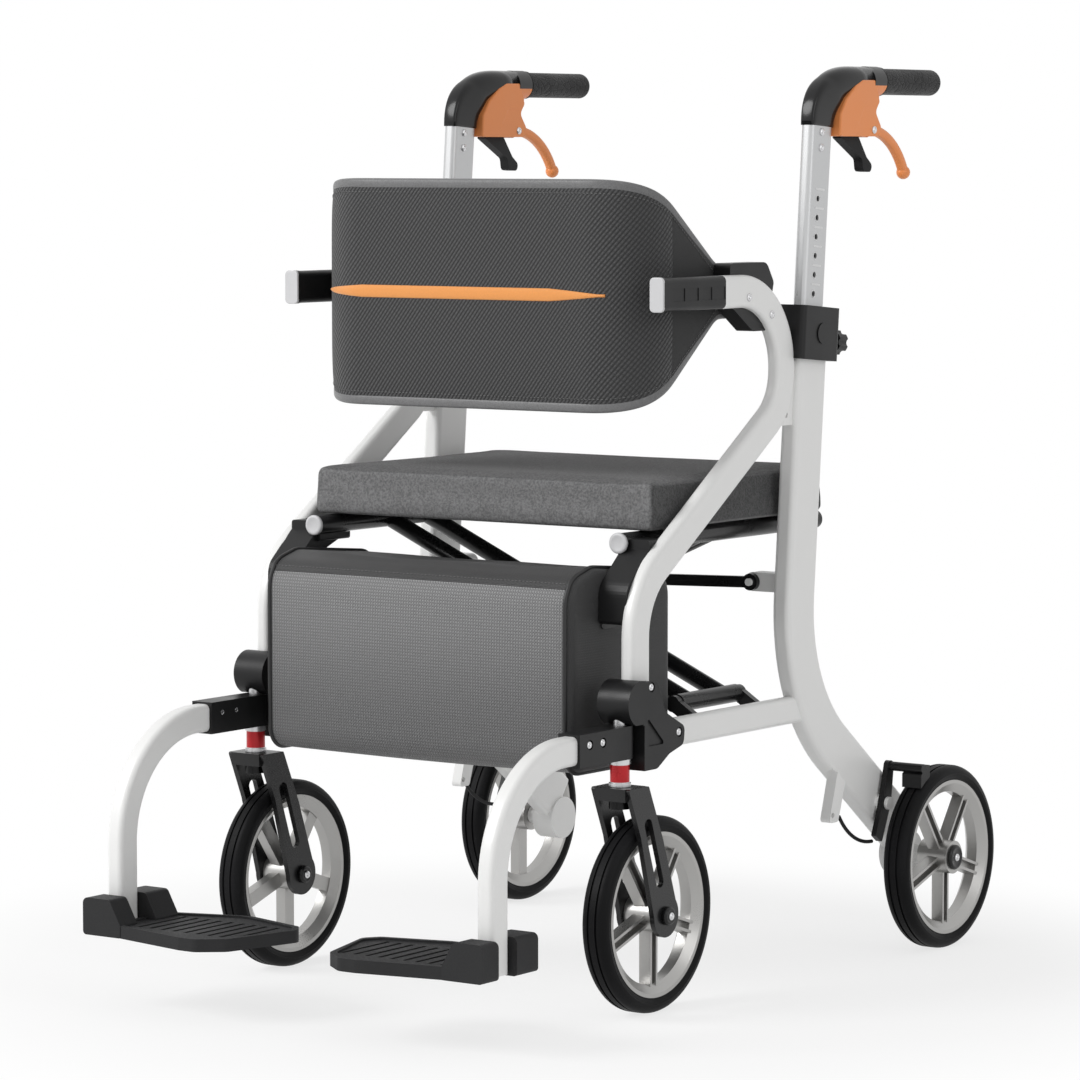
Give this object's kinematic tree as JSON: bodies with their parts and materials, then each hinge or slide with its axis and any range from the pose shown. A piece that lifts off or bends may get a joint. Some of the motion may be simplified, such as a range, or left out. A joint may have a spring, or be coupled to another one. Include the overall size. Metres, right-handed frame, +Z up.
{
  "type": "rollator transport chair",
  "caption": "Folding walking frame with seat, swing-over back band, caster front wheels, braked rear wheels, height-adjustable handles and swing-away footrests.",
  "frame": {"origin": "on the floor under the middle of the whole chair", "axes": "+Z up, -Y to the front where the feet go, +X to the sitter's left"},
  "size_m": [0.602, 0.927, 0.959],
  "materials": {
    "frame_white": "satin white powder coat",
    "handle_silver": "fine satin",
    "black_plastic": "semi-matt moulded",
    "black_metal": "satin black coat",
    "rubber": "matt",
    "orange_plastic": "satin orange",
    "red_collar": "red anodised collar on a plain steel post",
    "rim_grey": "silver-grey moulded",
    "tyre": "matt black",
    "steel": "zinc plated",
    "seat_fabric": "heather grey foam cushion",
    "mesh_fabric": "charcoal mesh with grey binding",
    "bag_fabric": "grey basket weave with black piping"
  },
  "bodies": {
    "left_frame": {"left_upright": "frame_white", "left_arm_tube": "frame_white", "left_arm_pad": "black_plastic", "left_band_bracket": "black_plastic", "left_height_clamp": "black_plastic", "left_front_bracket": "black_plastic", "left_stem_post": "red_collar", "left_seat_saddle": "black_plastic", "left_brake_cable": "black_plastic", "storage_bag": "bag_fabric"},
    "brace_left": {"brace_left": "black_metal", "brace_bolt": "steel"},
    "brace_right": {"brace_right": "black_metal"},
    "right_frame": {"right_upright": "frame_white", "right_arm_tube": "frame_white", "right_arm_pad": "black_plastic", "right_band_bracket": "black_plastic", "right_height_clamp": "black_plastic", "right_front_bracket": "black_plastic", "right_stem_post": "red_collar", "right_seat_saddle": "black_plastic", "right_brake_cable": "black_plastic"},
    "seat": {"seat_cushion": "seat_fabric"},
    "backrest": {"back_band": "mesh_fabric"},
    "left_link": {"left_link_arm": "black_metal"},
    "left_handle": {"left_handle_tube": "handle_silver", "left_handle_elbow": "black_plastic", "left_hand_grip": "rubber", "left_brake_housing": "orange_plastic", "left_cable_boot": "black_plastic"},
    "left_brake_lever": {"left_brake_lever": "orange_plastic"},
    "left_clamp_knob": {"left_clamp_knob": "black_plastic"},
    "left_caster": {"left_caster_fork": "black_plastic", "left_front_axle": "steel"},
    "left_front_wheel": {"left_front_rim": "rim_grey", "left_front_tyre": "tyre"},
    "left_rear_wheel": {"left_rear_rim": "rim_grey", "left_rear_tyre": "tyre"},
    "left_brake_arm": {"left_brake_arm": "black_metal"},
    "left_footrest": {"left_foot_hinge": "black_plastic", "left_foot_tube": "frame_white"},
    "left_footplate": {"left_footplate": "black_plastic"},
    "right_link": {"right_link_arm": "black_metal"},
    "right_handle": {"right_handle_tube": "handle_silver", "right_handle_elbow": "black_plastic", "right_hand_grip": "rubber", "right_brake_housing": "orange_plastic", "right_cable_boot": "black_plastic"},
    "right_brake_lever": {"right_brake_lever": "orange_plastic"},
    "right_clamp_knob": {"right_clamp_knob": "black_plastic"},
    "right_caster": {"right_caster_fork": "black_plastic", "right_front_axle": "steel"},
    "right_front_wheel": {"right_front_rim": "rim_grey", "right_front_tyre": "tyre"},
    "right_rear_wheel": {"right_rear_rim": "rim_grey", "right_rear_tyre": "tyre"},
    "right_brake_arm": {"right_brake_arm": "black_metal"},
    "right_footrest": {"right_foot_hinge": "black_plastic", "right_foot_tube": "frame_white"},
    "right_footplate": {"right_footplate": "black_plastic"}
  },
  "joints": [
    {"name": "fold", "type": "hinge", "parent": "left_frame", "child": "brace_left", "pos_m": [0.194, 0.0295, 0.3], "axis": [0, 1, 0], "range_deg": [0, 50], "deforming": ["seat_cushion", "back_band", "storage_bag"]},
    {"name": "cross", "type": "hinge", "parent": "brace_left", "child": "brace_right", "pos_m": [0, 0.0295, 0.3865], "axis": [0, 1, 0], "range_deg": [-100, 0]},
    {"name": "right_foot_of_cross", "type": "hinge", "parent": "brace_right", "child": "right_frame", "pos_m": [-0.194, 0.0295, 0.3], "axis": [0, 1, 0], "range_deg": [0, 50]},
    {"name": "seat_level", "type": "hinge", "parent": "brace_right", "child": "seat", "pos_m": [0.194, 0.0295, 0.473], "axis": [0, 1, 0], "range_deg": [0, 50]},
    {"name": "back_flip", "type": "hinge", "parent": "left_frame", "child": "backrest", "pos_m": [0, 0.0515, 0.722], "axis": [-1, 0, 0], "range_deg": [0, 180]},
    {"name": "left_link_turn", "type": "hinge", "parent": "left_frame", "child": "left_link", "pos_m": [0.19, 0.1215, 0.414], "axis": [0, 1, 0], "range_deg": [0, 76.9]},
    {"name": "left_handle_height", "type": "slide", "parent": "left_frame", "child": "left_handle", "axis": [0, 0.0828, 0.9966], "range_m": [-0.115, 0.02]},
    {"name": "left_brake_pull", "type": "hinge", "parent": "left_handle", "child": "left_brake_lever", "pos_m": [0.232, 0.27223, 0.88893], "axis": [1, 0, 0], "range_deg": [0, 18], "stiffness_Nm_per_rad": 1.2},
    {"name": "left_brake_press", "type": "hinge", "parent": "left_frame", "child": "left_brake_arm", "pos_m": [0.249, 0.2995, 0.163], "axis": [-1, 0, 0], "range_deg": [0, 2.7], "deforming": ["left_brake_cable"]},
    {"name": "left_knob_turn", "type": "hinge", "parent": "left_frame", "child": "left_clamp_knob", "pos_m": [0.232, 0.16226, 0.66895], "axis": [0, 0.9966, -0.0828], "continuous": true},
    {"name": "left_swivel", "type": "hinge", "parent": "left_frame", "child": "left_caster", "pos_m": [0.232, -0.1865, 0.235], "axis": [0, 0, 1], "continuous": true},
    {"name": "left_front_roll", "type": "hinge", "parent": "left_caster", "child": "left_front_wheel", "pos_m": [0.232, -0.1365, 0.1], "axis": [1, 0, 0], "continuous": true},
    {"name": "left_rear_roll", "type": "hinge", "parent": "left_frame", "child": "left_rear_wheel", "pos_m": [0.281, 0.3635, 0.1], "axis": [1, 0, 0], "continuous": true},
    {"name": "left_footrest_swing", "type": "hinge", "parent": "left_frame", "child": "left_footrest", "pos_m": [0.232, -0.1865, 0.28], "axis": [0, 0, 1], "range_deg": [0, 90]},
    {"name": "left_plate_flip", "type": "hinge", "parent": "left_footrest", "child": "left_footplate", "pos_m": [0.232, -0.404, 0.103], "axis": [0, 1, 0], "range_deg": [0, 90]},
    {"name": "right_link_turn", "type": "hinge", "parent": "right_frame", "child": "right_link", "pos_m": [-0.19, 0.1215, 0.414], "axis": [0, -1, 0], "range_deg": [0, 76.9]},
    {"name": "right_handle_height", "type": "slide", "parent": "right_frame", "child": "right_handle", "axis": [0, 0.0828, 0.9966], "range_m": [-0.115, 0.02]},
    {"name": "right_brake_pull", "type": "hinge", "parent": "right_handle", "child": "right_brake_lever", "pos_m": [-0.232, 0.27223, 0.88893], "axis": [1, 0, 0], "range_deg": [0, 18], "stiffness_Nm_per_rad": 1.2},
    {"name": "right_brake_press", "type": "hinge", "parent": "right_frame", "child": "right_brake_arm", "pos_m": [-0.249, 0.2995, 0.163], "axis": [-1, 0, 0], "range_deg": [0, 2.7], "deforming": ["right_brake_cable"]},
    {"name": "right_knob_turn", "type": "hinge", "parent": "right_frame", "child": "right_clamp_knob", "pos_m": [-0.232, 0.16226, 0.66895], "axis": [0, 0.9966, -0.0828], "continuous": true},
    {"name": "right_swivel", "type": "hinge", "parent": "right_frame", "child": "right_caster", "pos_m": [-0.232, -0.1865, 0.235], "axis": [0, 0, 1], "continuous": true},
    {"name": "right_front_roll", "type": "hinge", "parent": "right_caster", "child": "right_front_wheel", "pos_m": [-0.232, -0.1365, 0.1], "axis": [1, 0, 0], "continuous": true},
    {"name": "right_rear_roll", "type": "hinge", "parent": "right_frame", "child": "right_rear_wheel", "pos_m": [-0.281, 0.3635, 0.1], "axis": [1, 0, 0], "continuous": true},
    {"name": "right_footrest_swing", "type": "hinge", "parent": "right_frame", "child": "right_footrest", "pos_m": [-0.232, -0.1865, 0.28], "axis": [0, 0, -1], "range_deg": [0, 90]},
    {"name": "right_plate_flip", "type": "hinge", "parent": "right_footrest", "child": "right_footplate", "pos_m": [-0.232, -0.404, 0.103], "axis": [0, -1, 0], "range_deg": [0, 90]}
  ],
  "couplings": [
    {"joint": "cross", "follows": "fold", "ratio": -2},
    {"joint": "right_foot_of_cross", "follows": "fold", "ratio": 1},
    {"joint": "seat_level", "follows": "fold", "ratio": 1},
    {"joint": "left_link_turn", "follows": "fold", "ratio": 1.537},
    {"joint": "left_brake_press", "follows": "left_brake_pull", "ratio": 0.15},
    {"joint": "left_plate_flip", "follows": "fold", "ratio": 1.8},
    {"joint": "right_link_turn", "follows": "fold", "ratio": 1.537},
    {"joint": "right_brake_press", "follows": "right_brake_pull", "ratio": 0.15},
    {"joint": "right_plate_flip", "follows": "fold", "ratio": 1.8}
  ]
}
